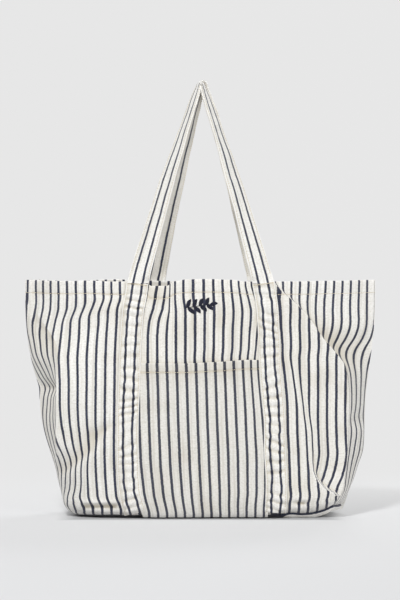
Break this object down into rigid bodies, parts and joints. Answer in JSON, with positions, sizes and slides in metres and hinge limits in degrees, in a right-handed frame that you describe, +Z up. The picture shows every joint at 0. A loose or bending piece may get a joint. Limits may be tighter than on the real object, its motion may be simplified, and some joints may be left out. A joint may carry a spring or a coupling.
{
  "type": "tote bag",
  "caption": "Folding canvas tote bag with striped cloth, a boxed base, sewn-on straps that rise into two twisted handle loops, and a patch pocket.",
  "frame": {"origin": "middle of the base, on the floor", "axes": "+Z up, +X to the bag's right seen from the front, -Y out of the front face"},
  "size_m": [0.5, 0.182, 0.6338],
  "materials": {
    "striped_canvas": "matte",
    "striped_strap": "matte",
    "seam_binding": "matte",
    "stitching_thread": "satin",
    "embroidery_thread": "satin"
  },
  "bodies": {
    "front": {"front_panel": "striped_canvas", "front_hem": "striped_canvas", "front_base_seam": "seam_binding", "front_strap_left": "striped_strap", "front_strap_right": "striped_strap", "front_strap_thread": "stitching_thread", "front_bar_tacks": "stitching_thread", "front_hem_thread": "stitching_thread", "pocket_panel": "striped_canvas", "pocket_hem": "striped_canvas", "pocket_thread": "stitching_thread", "embroidered_sprig": "embroidery_thread"},
    "back": {"back_panel": "striped_canvas", "back_hem": "striped_canvas", "back_base_seam": "seam_binding", "back_strap_left": "striped_strap", "back_strap_right": "striped_strap", "back_strap_thread": "stitching_thread", "back_bar_tacks": "stitching_thread", "back_hem_thread": "stitching_thread"},
    "base_front": {"base_front": "striped_canvas"},
    "base_rear": {"base_rear": "striped_canvas"},
    "left_gusset_front": {"left_gusset_front": "striped_canvas", "left_hem_front": "striped_canvas"},
    "left_gusset_rear": {"left_gusset_rear": "striped_canvas", "left_hem_rear": "striped_canvas", "left_side_seam": "seam_binding"},
    "right_gusset_front": {"right_gusset_front": "striped_canvas", "right_hem_front": "striped_canvas"},
    "right_gusset_rear": {"right_gusset_rear": "striped_canvas", "right_hem_rear": "striped_canvas", "right_side_seam": "seam_binding"},
    "front_handle": {"front_handle": "striped_strap", "front_handle_thread": "stitching_thread"},
    "back_handle": {"back_handle": "striped_strap", "back_handle_thread": "stitching_thread"}
  },
  "joints": [
    {"name": "flatten", "type": "hinge", "parent": "base_rear", "child": "back", "pos_m": [0, 0.068, 0.002], "axis": [1, 0, 0], "range_deg": [0, 80]},
    {"name": "base_front_fold", "type": "hinge", "parent": "front", "child": "base_front", "pos_m": [0, -0.068, 0.002], "axis": [1, 0, 0], "range_deg": [0, 80]},
    {"name": "base_middle_fold", "type": "hinge", "parent": "base_front", "child": "base_rear", "pos_m": [0, 0, 0], "axis": [1, 0, 0], "range_deg": [-160, 0]},
    {"name": "right_front_fold", "type": "hinge", "parent": "front", "child": "right_gusset_front", "pos_m": [0.18997, -0.068, 0], "axis": [0.1691, 0, 0.9856], "range_deg": [0, 80]},
    {"name": "right_middle_fold", "type": "hinge", "parent": "right_gusset_front", "child": "right_gusset_rear", "pos_m": [0.192, 0, 0], "axis": [0.1691, 0, 0.9856], "range_deg": [-160, 0]},
    {"name": "left_front_fold", "type": "hinge", "parent": "front", "child": "left_gusset_front", "pos_m": [-0.18997, -0.068, 0], "axis": [0.1691, 0, -0.9856], "range_deg": [0, 80]},
    {"name": "left_middle_fold", "type": "hinge", "parent": "left_gusset_front", "child": "left_gusset_rear", "pos_m": [-0.192, 0, 0], "axis": [0.1691, 0, -0.9856], "range_deg": [-160, 0]},
    {"name": "front_handle_swing", "type": "hinge", "parent": "front", "child": "front_handle", "pos_m": [0, -0.075, 0.338], "axis": [1, 0, 0], "range_deg": [0, 170]},
    {"name": "back_handle_swing", "type": "hinge", "parent": "back", "child": "back_handle", "pos_m": [0, 0.075, 0.338], "axis": [1, 0, 0], "range_deg": [-170, 0]}
  ],
  "couplings": [
    {"joint": "base_front_fold", "follows": "flatten", "ratio": 1},
    {"joint": "base_middle_fold", "follows": "flatten", "ratio": -2},
    {"joint": "right_front_fold", "follows": "flatten", "ratio": 1},
    {"joint": "right_middle_fold", "follows": "flatten", "ratio": -2},
    {"joint": "left_front_fold", "follows": "flatten", "ratio": 1},
    {"joint": "left_middle_fold", "follows": "flatten", "ratio": -2}
  ]
}
